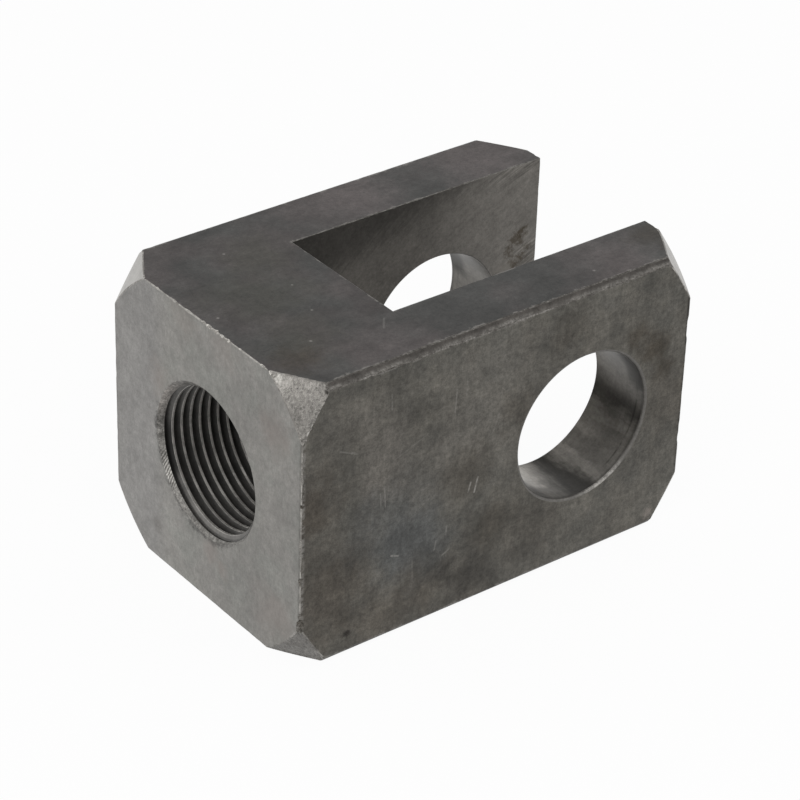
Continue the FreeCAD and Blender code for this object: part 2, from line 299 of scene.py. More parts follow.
# Chips by the finish that they show: a place on an edge in millimetres, the way out of the steel
# there, and the radius and depth in millimetres
OVER_FRONT = (-1, 0, 1)
NEAR_UPRIGHT = (-1, -1, 0)
NEAR_CORNER = (-1, -1.4, 1)
CHIPS = {
    "edge": (
        ((-63.5, 14.9, 29), OVER_FRONT, 0.8, 0.2), ((-63.5, 4.8, 29), OVER_FRONT, 0.9, 0.25),
        ((-63.5, 0.4, 29), OVER_FRONT, 1.1, 0.3), ((-63.5, -1.2, 29), OVER_FRONT, 1.2, 0.38),
        ((-63.5, -3.2, 29), OVER_FRONT, 1.2, 0.42), ((-63.5, -5.2, 29), OVER_FRONT, 1.0, 0.3),
        ((-63.5, -7.0, 29), OVER_FRONT, 1.2, 0.35), ((-63.5, -10.8, 29), OVER_FRONT, 0.8, 0.2),
        ((-63.5, -17.2, 29), OVER_FRONT, 0.9, 0.3), ((-63.4, -19.9, 28.8), OVER_FRONT, 0.9, 0.35),
        ((-63.45, -28.4, 20.3), NEAR_CORNER, 0.8, 0.3),
    ),
    "battered": (
        ((-63.2, -20.4, 28.5), OVER_FRONT, 0.9, 0.3), ((-62.9, -29, 20.0), NEAR_CORNER, 0.9, 0.3),
        ((-61.9, -29, 21.7), NEAR_CORNER, 0.8, 0.25), ((-61.1, -29, 23.0), NEAR_CORNER, 0.9, 0.3),
        ((-60.2, -29, 24.5), NEAR_CORNER, 0.7, 0.22), ((-59.3, -29, 25.9), NEAR_CORNER, 0.8, 0.3),
    ),
    "side": (
        ((-63.5, -29, -9.2), NEAR_UPRIGHT, 1.2, 0.45),
        ((-63.5, -29, -18.6), NEAR_UPRIGHT, 2.0, 0.85),
        ((-63.5, -29, -16.6), NEAR_UPRIGHT, 1.2, 0.4), ((-63.5, -29, 6.5), NEAR_UPRIGHT, 0.9, 0.2),
        ((-63.5, -29, -2.5), NEAR_UPRIGHT, 0.9, 0.22), ((-63.5, -29, 15), NEAR_UPRIGHT, 0.9, 0.2),
        ((-63.5, -28.6, -19.6), NEAR_UPRIGHT, 1.3, 0.5),
        ((-53.0, -29, -24.3), (0, -1, 0), 0.9, 0.2),
    ),
}


class Finish:
    """A steel finish under way: its tint, roughness and relief, changed step by step."""

    def __init__(self, name, tint, roughness, metal=1.0):
        material = bpy.data.materials.new(name)
        material.use_nodes = True
        self.tree = material.node_tree
        self.shader = self.tree.nodes["Principled BSDF"]
        self.shader.inputs["Metallic"].default_value = metal
        coordinates = self.tree.nodes.new("ShaderNodeTexCoord")
        self.place = self.stretch([1 / MM] * 3, place=coordinates.outputs["Object"])
        parts = self.tree.nodes.new("ShaderNodeSeparateXYZ")
        self.join(self.place, parts.inputs[0])
        self.along, self.across, self.upright = parts.outputs
        self.tint = tuple(tint)
        self.roughness = roughness
        self.relief = None

    def join(self, value, socket):
        """Link a node's output to a socket, or set the socket to a plain value."""
        if isinstance(value, bpy.types.NodeSocket):
            self.tree.links.new(value, socket)
        elif socket.type == "RGBA" and len(value) == 3:
            socket.default_value = (*value, 1)
        else:
            socket.default_value = value

    def node(self, kind, *inputs, output=0, **settings):
        """Add a node with its settings and its inputs in order, and return one of its outputs."""
        made = self.tree.nodes.new(kind)
        for name, value in settings.items():
            setattr(made, name, value)
        for socket, value in zip(made.inputs, inputs):
            self.join(value, socket)
        return made.outputs[output]

    def maths(self, operation, *inputs):
        """Add a Math node."""
        return self.node("ShaderNodeMath", *inputs, operation=operation)

    def fold(self, operation, values):
        """Take several values together, two at a time."""
        return functools.reduce(lambda first, second: self.maths(operation, first, second), values)

    def plus(self, *values):
        """The sum of several values."""
        return self.fold("ADD", values)

    def minus(self, value, taken):
        """One value less another."""
        return self.maths("SUBTRACT", value, taken)

    def times(self, *values):
        """The product of several values."""
        return self.fold("MULTIPLY", values)

    def unsigned(self, value):
        """A value without its sign."""
        return self.maths("ABSOLUTE", value)

    def overlap(self, *masks):
        """A mask where all of several masks hold."""
        return self.fold("MINIMUM", masks)

    def union(self, *masks):
        """A mask where any of several masks holds."""
        return self.fold("MAXIMUM", masks)

    def stretch(self, scale, turn=(0, 0, 0), place=None):
        """Scale a pattern's coordinates and then turn them."""
        mapping = self.tree.nodes.new("ShaderNodeMapping")
        self.join(place or self.place, mapping.inputs["Vector"])
        mapping.inputs["Rotation"].default_value = turn
        mapping.inputs["Scale"].default_value = scale
        return mapping.outputs["Vector"]

    def mottle(self, size, detail, roughness=0.7, place=None):
        """Add noise whose largest lumps are about this many millimetres across, from 0 to 1."""
        made = self.tree.nodes.new("ShaderNodeTexNoise")
        self.join(place or self.place, made.inputs["Vector"])
        for name, value in (("Scale", 1 / size), ("Detail", detail), ("Roughness", roughness)):
            made.inputs[name].default_value = value
        return made.outputs["Fac"]

    def ramp(self, value, low, high, to_low=0.0, to_high=1.0):
        """Map a range of a value smoothly to another range and hold it at the ends."""
        made = self.tree.nodes.new("ShaderNodeMapRange")
        made.interpolation_type = "SMOOTHSTEP"
        for name, given in (("Value", value), ("From Min", low), ("From Max", high),
                            ("To Min", to_low), ("To Max", to_high)):
            self.join(given, made.inputs[name])
        return made.outputs["Result"]

    def patches(self, size, detail, low, high, to_low=0.0, to_high=1.0, roughness=0.7):
        """Noise of a size in millimetres, with a range of it mapped to another range."""
        return self.ramp(self.mottle(size, detail, roughness), low, high, to_low, to_high)

    def window(self, value, middle, full, none):
        """A mask that is full up to one distance from a value and none past another."""
        return self.ramp(self.unsigned(self.minus(value, middle)), full, none, 1.0, 0.0)

    def reach(self, first, second):
        """The length of a flat vector with these two parts."""
        return self.maths("SQRT", self.plus(self.times(first, first), self.times(second, second)))

    def turn(self, rise, run):
        """The direction of a flat vector in degrees, from -180 to 180."""
        return self.maths("DEGREES", self.maths("ARCTAN2", rise, run))

    def scaled(self, vector, factor):
        """A vector or a colour times a number."""
        made = self.tree.nodes.new("ShaderNodeVectorMath")
        made.operation = "SCALE"
        self.join(vector, made.inputs[0])
        self.join(factor, made.inputs["Scale"])
        return made.outputs["Vector"]

    def paint(self, mask, tint, amount=1.0):
        """Lay another tint over the steel where a mask says so."""
        if amount != 1.0:
            mask = self.times(mask, amount)
        made = self.tree.nodes.new("ShaderNodeMix")
        made.data_type = "RGBA"
        self.join(mask, made.inputs["Factor"])
        under, over = (socket for socket in made.inputs if socket.type == "RGBA")
        self.join(self.tint, under)
        self.join(tint, over)
        self.tint = next(socket for socket in made.outputs if socket.type == "RGBA")

    def vary(self, factor):
        """Make the tint lighter or darker by a factor around 1."""
        self.tint = self.scaled(self.tint, factor)

    def shade(self, mask, factor):
        """Make the tint lighter or darker by a factor where a mask says so."""
        self.vary(self.ramp(mask, 0.0, 1.0, 1.0, factor))

    def texture(self, size, spread, detail, roughness, place=None, height=0.0):
        """Vary the tint by up to a share either way with noise, which can also be raised."""
        lumps = self.mottle(size, detail, roughness, place)
        self.vary(self.ramp(lumps, 0.25, 0.75, 1 - spread, 1 + spread))
        if height:
            self.lift(lumps, height)

    def lift(self, pattern, height):
        """Add a pattern to the relief, with its full height in millimetres."""
        raised = self.times(pattern, height)
        self.relief = raised if self.relief is None else self.plus(self.relief, raised)

    def scratch(self, start, end, width):
        """A mask along a straight scratch between two places in millimetres."""
        start, end = Vector(start), Vector(end)
        along = end - start
        away = self.node("ShaderNodeVectorMath", self.place, start, operation="SUBTRACT")
        covered = self.node("ShaderNodeVectorMath", away, along / along.length_squared,
                            operation="DOT_PRODUCT", output="Value")
        foot = self.scaled(along, self.node("ShaderNodeClamp", covered, 0.0, 1.0))
        gap = self.node("ShaderNodeVectorMath", away, foot, operation="DISTANCE", output="Value")
        return self.ramp(gap, 0.0, width, 1.0, 0.0)

    def stain(self, centre, size, ragged):
        """A soft mask round a place in millimetres, with a ragged border."""
        gap = self.node("ShaderNodeVectorMath", self.place, centre, operation="DISTANCE",
                        output="Value")
        rough = self.patches(size * 0.7, 4, 0.3, 0.7, -ragged, ragged)
        return self.ramp(self.plus(self.maths("DIVIDE", gap, size), rough), 0.1, 1.1, 1.0, 0.0)

    def paint_stains(self, stains, ragged=0.25):
        """Lay a list of stains over the steel."""
        for centre, size, amount, tint in stains:
            self.paint(self.stain(centre, size, ragged), tint, amount)

    def edge_gap(self):
        """How far the nearest outer edge is: the distance to the second nearest surface."""
        across, upright = self.unsigned(self.across), self.unsigned(self.upright)
        from_start = self.minus(self.along, FACE_END)
        from_end = self.minus(FORK_END, self.along)
        bevel = self.minus(2 * HALF_SIDE - EDGE_BEVEL / MM, self.plus(across, upright))
        surfaces = [self.minus(HALF_SIDE, across), self.minus(HALF_SIDE, upright), from_start,
                    from_end, self.maths("DIVIDE", bevel, math.sqrt(2))]
        for past, face_radius in ((from_start, THREADED_FACE_RADIUS), (from_end, FORK_END_RADIUS)):
            cone = self.minus(self.plus(past, face_radius / MM), self.reach(across, upright))
            surfaces.append(self.maths("DIVIDE", cone, math.sqrt(2)))
        surfaces.append(self.union(self.minus(across, SLOT_SIDE), self.minus(SLOT_END, self.along)))
        surfaces.append(self.minus(self.reach(self.along, upright), PIN_RADIUS / MM))
        nearest = self.maths("MINIMUM", *surfaces[:2])
        second = self.maths("MAXIMUM", *surfaces[:2])
        for surface in surfaces[2:]:
            second = self.maths("MINIMUM", second, self.maths("MAXIMUM", nearest, surface))
            nearest = self.maths("MINIMUM", nearest, surface)
        return second

    def rub_edges(self, tint, width, amount):
        """Lay bright steel unevenly along the outer edges, in a band about this wide."""
        rubbed = self.patches(4.0, 3, 0.42, 0.62)
        uneven = self.patches(0.8, 3, 0.3, 0.7, 0.2, 1.4)
        band = self.plus(self.times(rubbed, uneven, width), 0.02)
        self.paint(self.ramp(self.edge_gap(), 0.0, band, amount, 0.0), tint)

    def done(self):
        """Link the tint, the roughness and the relief to the shader."""
        self.join(self.tint, self.shader.inputs["Base Color"])
        self.join(self.roughness, self.shader.inputs["Roughness"])
        if self.relief is not None:
            bump = self.tree.nodes.new("ShaderNodeBump")
            bump.inputs["Distance"].default_value = MM
            self.join(self.relief, bump.inputs["Height"])
            self.join(bump.outputs["Normal"], self.shader.inputs["Normal"])


def side_finish(colours):
    """The bar's drawn sides: dark, brownish, mottled and scuffed."""
    steel = Finish("side", colours.side, 0.5, 0.9)
    steel.paint(steel.patches(11, 3, 0.3, 0.7), colours.side_warm)
    rise = steel.minus(steel.upright, steel.patches(3, 4, 0.3, 0.7, -1.5, 1.5))
    pale_column = steel.overlap(
        steel.ramp(steel.along, -52.5, -48.5), steel.ramp(steel.along, -43.5, -38.5, 1, 0),
        steel.ramp(rise, 0.0, 2.2), steel.ramp(rise, 10.0, 24.0, 1, 0))
    steel.paint(pale_column, PALE, 0.8)
    steel.paint_stains(SIDE_STAINS)
    steel.texture(16, 0.2, 5, 0.7)
    steel.texture(1.3, 0.12, 4, 0.8, steel.stretch((1.0, 1.0, 0.16)))
    slanted = steel.stretch((0.3, 1.0, 1.2), (0, math.radians(40), 0))
    steel.texture(4.0, 0.13, 5, 0.85, slanted)
    steel.texture(5.5, 0.14, 4, 0.6)
    steel.texture(1.2, 0.42, 5, 1.0, height=0.03)
    broken = steel.patches(0.9, 3, 0.4, 0.6, 0.0, 0.8)
    by_face = steel.ramp(steel.along, FACE_END + 1.1, FACE_END + 0.4)
    steel.paint(steel.times(by_face, broken), colours.rubbed)
    by_fork_end = steel.ramp(steel.along, FORK_END - 0.8, FORK_END - 0.3)
    steel.paint(steel.times(by_fork_end, broken), DARK)
    steel.rub_edges(colours.rubbed, 0.5, 0.7)
    steel.paint(steel.scratch(*END_DENT), DARK, 0.7)
    marks = steel.union(*(steel.times(steel.scratch(start, end, width), amount)
                          for start, end, width, amount in SIDE_SCRATCHES))
    marks = steel.times(marks, steel.patches(0.9, 3, 0.35, 0.55, 0.3, 1.0))
    on_near_side = steel.maths("LESS_THAN", steel.across, 0.0)
    steel.paint(steel.times(marks, on_near_side), colours.bare_and_glint)
    steel.lift(marks, -0.02)
    return steel


def top_finish(colours):
    """The bar's drawn top and bottom: smoother and cooler than its sides."""
    steel = Finish("top", colours.top, 0.5, 0.9)
    steel.paint(steel.patches(22, 2, 0.42, 0.62), colours.top_warm)
    steel.texture(12, 0.17, 4, 0.6)
    steel.paint_stains(TOP_STAINS)
    steel.texture(4, 0.13, 4, 0.6)
    steel.texture(2.6, 0.1, 5, 0.8, steel.stretch((0.25, 1.0, 1.0)))
    steel.texture(1.1, 0.3, 5, 1.0, height=0.02)
    steel.rub_edges(colours.rubbed, 0.6, 0.9)
    specks = steel.union(*(steel.stain(centre, size, 0.2) for centre, size in TOP_SPECKS))
    steel.paint(specks, colours.bare_and_glint, 0.4)
    steel.paint(steel.scratch(*TOP_SCRATCH), colours.bare_and_glint, 0.15)
    return steel


def bevel_finish(colours):
    """The bar's narrow long bevels: dark, with rubbed stretches on the half beside the sides."""
    steel = Finish("bevel", colours.bevel, 0.5, 0.9)
    steel.texture(7, 0.3, 4, 0.7)
    outward = steel.minus(steel.unsigned(steel.across), steel.unsigned(steel.upright))
    rubbed = steel.times(steel.ramp(outward, -0.4, 0.7), steel.patches(14, 3, 0.4, 0.6, 0.3, 0.9),
                         steel.patches(0.8, 4, 0.35, 0.65, 0.15, 0.9, 0.9))
    steel.paint(rubbed, colours.rubbed)
    steel.texture(0.9, 0.3, 4, 0.9, height=0.09)
    return steel


def smear_mouth(steel, colours, strength=1.0):
    """Smear old grease round the thread's mouth, over the countersink and the face."""
    direction = steel.turn(steel.upright, steel.across)
    wander = steel.patches(3.0, 4, 0.3, 0.7, -0.7, 0.7, 0.8)
    radius = steel.plus(steel.reach(steel.across, steel.upright), wander)
    streaks = steel.patches(0.9, 4, 0.35, 0.65, 0.35, 1.0, 0.9)
    for middle, full, none, outermost, amount in MOUTH_SMEARS:
        smear = steel.overlap(steel.ramp(radius, outermost - 1.3, outermost, 1.0, 0.0),
                              steel.window(direction, middle, full, none))
        steel.paint(steel.times(smear, streaks), colours.grease_and_shade, amount * strength)


def faced_finish(colours):
    """The faced ends: an even light grey with faint smears."""
    steel = Finish("faced", colours.faced, 0.5)
    steel.paint(steel.patches(11, 3, 0.4, 0.65), colours.faced_green)
    steel.paint(steel.ramp(steel.across, 11.0, 18.0), DULL)
    steel.vary(steel.ramp(steel.across, -13.0, -3.0, 0.91, 1.0))
    steel.texture(14, 0.1, 3, 0.6)
    steel.texture(3, 0.11, 4, 0.8)
    steel.texture(1.0, 0.24, 5, 1.0, height=0.015)
    brushed = steel.stretch((1.0, 1.0, 0.3), (math.radians(-12), 0, 0))
    steel.texture(0.9, 0.07, 3, 0.9, brushed)
    by_near_side = steel.ramp(steel.across, 0.9 - HALF_SIDE, 0.2 - HALF_SIDE)
    broken = steel.patches(1.5, 3, 0.35, 0.6, 0.1, 0.7)
    steel.paint(steel.times(by_near_side, broken), colours.side)
    steel.paint_stains(FACE_STAINS)
    smear_mouth(steel, colours)
    steel.rub_edges(colours.turned, 0.35, 0.5)
    return steel


def turned_finish(colours):
    """The turned corners: bright, a little rough, with painted shade on the threaded end's -Y side
    and painted light on its +Y side.
    """
    steel = Finish("turned", colours.turned, 0.38)
    # Painted shade: the turned corners on the -Y side of the threaded end are darker
    in_shade = steel.overlap(steel.ramp(steel.along, -48.0, -52.0),
                            steel.ramp(steel.across, 0.0, -10.0))
    steel.paint(in_shade, colours.turned_shaded)
    # Painted light: 1.1 times lighter on the +Y side of the threaded end
    steel.vary(steel.overlap(steel.ramp(steel.along, -48.0, -52.0, 1.0, 1.1),
                             steel.ramp(steel.across, 10.0, 0.0, 1.1, 1.0)))
    steel.texture(5, 0.12, 4, 0.7)
    steel.texture(0.8, 0.12, 4, 0.9, height=0.02)
    return steel


def battered_finish(colours):
    """The battered corners at the threaded end: rough metal with dark pits, and painted shade on
    the lower one.
    """
    steel = Finish("battered", colours.battered, 0.45)
    steel.texture(4, 0.15, 3, 0.6)
    steel.vary(steel.ramp(steel.upright, 23.0, 28.5, 0.88, 1.2))
    # Painted shade: the lower corner is darker than the upper one
    steel.vary(steel.ramp(steel.upright, -10.0, 10.0, 0.86, 1.0))
    for centre, size, amount in CORNER_STAINS:
        steel.paint(steel.stain(centre, size, 0.5), colours.bare_and_glint, amount)
    dragged = steel.stretch((1.0, 1.6, 0.6), (math.radians(30), math.radians(20), 0))
    steel.texture(0.8, 0.7, 5, 1.0, dragged, height=0.12)
    pits = steel.patches(0.5, 3, 0.32, 0.42, 0.35, 1.0, 0.9)
    steel.vary(pits)
    glints = steel.patches(0.6, 3, 0.6, 0.68, 0.0, 0.65, 0.9)
    steel.paint(glints, colours.bare_and_glint)
    cracks = steel.union(*(steel.scratch(*crack) for crack in CORNER_CRACKS))
    cracks = steel.times(cracks, steel.patches(0.6, 3, 0.35, 0.5, 0.4, 1.0))
    steel.paint(cracks, DARK)
    steel.lift(cracks, -0.25)
    return steel


def milled_finish(colours):
    """The slot's walls: dark, with a large disc cutter's arcs and painted shade under their tops.
    """
    steel = Finish("milled", colours.milled, 0.42)
    along, upright = steel.along, steel.upright
    radius = steel.reach(steel.minus(along, CUTTER_CENTRE[0]),
                         steel.minus(upright, CUTTER_CENTRE[1]))
    rings = steel.node("ShaderNodeCombineXYZ", radius, steel.times(along, 0.06))
    arcs = steel.mottle(0.8, 3, place=rings)
    strong = steel.union(
        steel.overlap(steel.ramp(upright, 24.0, 28.5), steel.ramp(along, -4.0, 8.0)),
        steel.overlap(steel.ramp(upright, 17.0, 8.0), steel.ramp(along, 16.0, 23.0)))
    strong = steel.ramp(strong, 0.0, 1.0, 0.06, 0.42)
    steel.vary(steel.plus(1.0, steel.times(strong, steel.ramp(arcs, 0.3, 0.7, -1.0, 1.0))))
    # Painted shade under the wall's top edge, deepest towards the slot floor, in the grease colour
    shade_under_top_edge = steel.plus(steel.minus(upright, steel.times(along, 0.28)),
                         steel.ramp(arcs, 0.3, 0.7, -1.6, 1.6))
    steel.paint(steel.ramp(shade_under_top_edge, 22.5, 31.0, 0.0, 0.7), colours.grease_and_shade)
    steel.texture(5, 0.15, 4, 0.7)
    steel.texture(1.0, 0.24, 5, 0.95, height=0.01)
    steel.paint_stains(SLOT_STAINS, 0.6)
    steel.rub_edges(colours.rubbed, 0.4, 0.8)
    steel.lift(arcs, 0.02)
    return steel


def bored_finish(colours):
    """The pin bore: smooth, with faint rings, bands of stain and painted reflection along it, and
    dark outer ends with painted shade.
    """
    steel = Finish("bored", colours.bored, 0.34, 0.8)
    lengthwise = steel.stretch((1.0, 0.35, 1.0))
    wander = steel.ramp(steel.mottle(4, 4, place=lengthwise), 0.3, 0.7, -5, 5)
    direction = steel.plus(steel.turn(steel.upright, steel.along), wander)
    # Painted reflection and stain: each band makes the bore lighter or darker by its direction
    # round the bore
    for middle, half_width, factor in BORE_STAIN_AND_REFLECTION_BANDS:
        steel.shade(steel.window(direction, middle, 0, half_width), factor)
    out = steel.unsigned(steel.across)
    below = steel.ramp(direction, -90.0, -104.0)
    above = steel.ramp(direction, 0.0, 14.0)
    # Painted shade near the bore's outer ends, on its upper side and less on its lower side, in the
    # grease colour
    shaded = steel.overlap(steel.ramp(out, 23.3, 25.7), steel.union(above, steel.times(below, 0.6)))
    steel.paint(shaded, colours.grease_and_shade, 0.92)
    steel.vary(steel.ramp(out, 15.5, 23.0, 1.3, 1.0))
    broken = steel.patches(4, 3, 0.4, 0.6, 0.0, 0.6)
    steel.paint(steel.times(steel.window(out, 26.8, 0, 0.35), broken), colours.grease_and_shade)
    steel.paint(steel.ramp(out, 27.7, 28.4, 0.0, 0.45), colours.grease_and_shade)
    steel.vary(steel.ramp(steel.across, 0.0, 1.0, 1.0, 1.15))
    steel.texture(0.7, 0.06, 3, 0.7, steel.stretch((0.06, 1.0, 0.06)), height=0.004)
    steel.texture(3, 0.2, 4, 0.7, lengthwise)
    steel.texture(0.9, 0.2, 4, 0.9)
    return steel


def rim_finish(colours):
    """The pin bore's broken rims: dull, with a painted highlight low on the -Y side."""
    steel = Finish("rim", colours.rim, 0.5, 0.7)
    direction = steel.turn(steel.upright, steel.along)
    # Painted highlight in bare steel's colour, low on the outer rim of the -Y arm
    rubbed = steel.overlap(steel.window(direction, -68, 6, 26),
                           steel.ramp(steel.across, -20.0, -27.0))
    uneven = steel.patches(1.2, 4, 0.35, 0.62, 0.15, 0.85, 0.9)
    steel.paint(steel.times(rubbed, uneven), colours.bare_and_glint)
    steel.texture(0.9, 0.25, 4, 0.9)
    return steel


def mouth_finish(colours):
    """The thread's countersink: grey like the face, with chatter and dark grease."""
    steel = Finish("mouth", colours.faced, 0.45)
    direction = steel.turn(steel.upright, steel.across)
    slanted = steel.minus(direction, steel.times(steel.along, 5.5))
    slanted = steel.plus(slanted, steel.patches(2.0, 3, 0.3, 0.7, -0.5, 0.5))
    chatter = steel.maths("SINE", steel.times(slanted, math.radians(360 / CHATTER_STEP)))
    chatter = steel.times(chatter, steel.window(direction, -32, 9, 17))
    steel.vary(steel.plus(1.05, steel.times(chatter, 0.6)))
    steel.paint(steel.window(direction, 30, 8, 30), RUSTY, 0.35)
    along_rim = steel.node("ShaderNodeCombineXYZ", steel.along, steel.times(direction, 0.05))
    steel.texture(0.5, 0.45, 4, 0.9, along_rim)
    depth = steel.minus(steel.along, FACE_END)
    steel.paint(steel.ramp(depth, 1.1, 1.5, 0.0, 0.2), colours.grease_and_shade)
    smear_mouth(steel, colours, 0.75)
    # Painted light: 1.1 times lighter round the bottom of the countersink
    steel.shade(steel.window(direction, -82, 18, 40), 1.1)
    steel.texture(0.7, 0.45, 4, 0.95, height=0.02)
    return steel


def thread_finish(colours):
    """The thread: light crests over greasy flanks, with painted shade round one side and on one
    side of the first turn, and painted light low on the first turn.
    """
    steel = Finish("thread", colours.thread, 0.42, 0.6)
    past_crest = steel.minus(steel.reach(steel.across, steel.upright), BORE_RADIUS / MM)
    steel.paint(steel.ramp(past_crest, 0.03, 0.2), colours.root)
    direction = steel.turn(steel.upright, steel.across)
    # Painted shade: darkest round -25 degrees and 1.7 times lighter away from there
    darkest = steel.window(direction, -25, 20, 50)
    steel.vary(steel.ramp(darkest, 0.0, 1.0, 1.7, 1.0))
    first_turn = steel.ramp(steel.minus(steel.along, FACE_END), 3.0, 2.8)
    # Painted shade on one side of the first turn
    steel.shade(steel.overlap(first_turn, steel.window(direction, -18, 10, 28)), 0.35)
    # Painted light low on the first turn, short of the roots
    lit = steel.overlap(first_turn, steel.window(direction, -92, 48, 62),
                        steel.ramp(past_crest, 0.8, 0.5))
    steel.shade(lit, 2.0)
    crest = steel.ramp(past_crest, 0.01, 0.06, 1.0, 0.0)
    steel.paint(steel.times(crest, steel.patches(4, 3, 0.35, 0.6, 0.55, 1.0)), colours.crest)
    steel.texture(3, 0.25, 4, 0.8)
    steel.texture(0.6, 0.12, 3, 0.9)
    return steel


def edge_finish(colours):
    """The breaks along the outer edges: dull with bright stretches, and darker in the slot."""
    steel = Finish("edge", colours.worn, 0.4)
    steel.paint(steel.patches(5, 5, 0.4, 0.68, roughness=0.8), colours.bare_and_glint)
    across, upright = steel.unsigned(steel.across), steel.unsigned(steel.upright)
    in_slot = steel.overlap(steel.ramp(steel.along, SLOT_END - 0.8, SLOT_END - 0.4),
                            steel.ramp(across, SLOT_SIDE + 0.8, SLOT_SIDE + 0.4))
    steel.shade(in_slot, 0.4)
    by_bevel = steel.overlap(*(steel.ramp(part, HALF_SIDE - 2.0, HALF_SIDE - 1.4)
                               for part in (across, upright)))
    ragged = steel.patches(1.2, 4, 0.4, 0.6, 0.95, 0.6, 0.9)
    steel.paint(steel.times(by_bevel, ragged), colours.bevel)
    steel.vary(steel.ramp(steel.upright, -24.0, -20.0, 0.75, 1.0))
    front_top = steel.overlap(steel.ramp(steel.along, FACE_END + 0.9, FACE_END + 0.5),
                              steel.ramp(steel.upright, HALF_SIDE - 1.0, HALF_SIDE - 0.5))
    glints = steel.patches(1.3, 3, 0.4, 0.55, 0.0, 0.8)
    steel.paint(steel.times(front_top, glints), colours.bare_and_glint)
    steel.texture(0.7, 0.4, 4, 0.9, height=0.03)
    return steel


FINISHES = {"side": side_finish, "top": top_finish, "bevel": bevel_finish, "faced": faced_finish,
            "turned": turned_finish, "battered": battered_finish, "milled": milled_finish,
            "bored": bored_finish, "rim": rim_finish, "mouth": mouth_finish,
            "thread": thread_finish, "edge": edge_finish}
SLOTS = list(FINISHES)


def activate(piece):
    """Select one object alone and make it the active one."""
    bpy.ops.object.select_all(action="DESELECT")
    piece.select_set(True)
    bpy.context.view_layer.objects.active = piece


def add_shape(add, **settings):
    """Add one of Blender's own shapes, with its place and turn taken into its mesh."""
    bpy.ops.object.select_all(action="DESELECT")
    add(**settings)
    bpy.ops.object.transform_apply()
    return bpy.context.object


def add_block(low, high):
    """Add a box between two corners."""
    return add_shape(bpy.ops.mesh.primitive_cube_add, size=1, location=(low + high) / 2,
                     scale=high - low)


def add_round(radius, start, end, sides):
    """Add a cylinder that runs from one point to another."""
    along = end - start
    return add_shape(bpy.ops.mesh.primitive_cylinder_add, vertices=sides, radius=radius,
                     depth=along.length, location=(start + end) / 2,
                     rotation=along.to_track_quat("Z", "Y").to_euler())


def combine(piece, tool, finish, operation="DIFFERENCE"):
    """Cut a tool out of a piece, or keep what both share; the tool leaves its finish behind."""
    tool.data.materials.append(bpy.data.materials[finish])
    modifier = piece.modifiers.new(operation.lower(), "BOOLEAN")
    modifier.operation = operation
    modifier.object = tool
    modifier.solver = "EXACT"
    modifier.material_mode = "TRANSFER"
    activate(piece)
    bpy.ops.object.modifier_apply(modifier=modifier.name)
    bpy.data.objects.remove(tool)


def bevel_edges(piece, wanted, width, finish=None, steps=1):
    """Bevel the edges that pass a test, and give the new faces a finish."""
    activate(piece)
    bpy.ops.object.mode_set(mode="EDIT")
    bpy.ops.mesh.select_mode(type="EDGE")
    bpy.ops.mesh.select_all(action="DESELECT")
    work = bmesh.from_edit_mesh(piece.data)
    for edge in [edge for edge in work.edges if wanted(edge)]:
        edge.select_set(True)
    bmesh.update_edit_mesh(piece.data)
    bpy.ops.mesh.bevel(offset_type="OFFSET", offset=width, segments=steps, affect="EDGES",
                       material=SLOTS.index(finish) if finish else -1)
    bpy.ops.object.mode_set(mode="OBJECT")


def both_ends(edge, test):
    """Whether both ends of an edge pass a test on their place."""
    return all(test(vertex.co) for vertex in edge.verts)


def has_finish(face, *finishes):
    """Whether a face has one of these finishes."""
    return SLOTS[face.material_index] in finishes


def saw_bar():
    """Add the square bar and bevel its four long edges."""
    bar = add_block(LOW, HIGH)
    for finish in SLOTS:
        bar.data.materials.append(bpy.data.materials[finish])
    for face in bar.data.polygons:
        axis = max(range(3), key=lambda axis: abs(face.normal[axis]))
        face.material_index = SLOTS.index(("faced", "side", "top")[axis])

    def runs_along(edge):
        first, second = (vertex.co for vertex in edge.verts)
        return near(first.y, second.y) and near(first.z, second.z)

    bevel_edges(bar, runs_along, EDGE_BEVEL, "bevel")
    return bar


def turn_corners(bar, sides=720):
    """Turn the bar's corners down to a 45 degree cone at each end."""
    radius = HIGH.y * math.sqrt(2) + CLEAR
    start = Vector((LOW.x - CLEAR, 0, 0))
    end = Vector((HIGH.x + CLEAR, 0, 0))
    blank = add_round(radius, start, end, sides)
    for end_x, face_radius in ((start.x, THREADED_FACE_RADIUS), (end.x, FORK_END_RADIUS)):
        leg = radius - (face_radius - CLEAR)
        bevel_edges(blank, lambda edge: both_ends(edge, lambda place: near(place.x, end_x)), leg)
    combine(bar, blank, "turned", "INTERSECT")


def mill_slot(bar):
    """Cut the slot between the arms."""
    low = Vector((SLOT_FLOOR, -SLOT_HALF, LOW.z - CLEAR))
    high = Vector((HIGH.x + CLEAR, SLOT_HALF, HIGH.z + CLEAR))
    combine(bar, add_block(low, high), "milled")


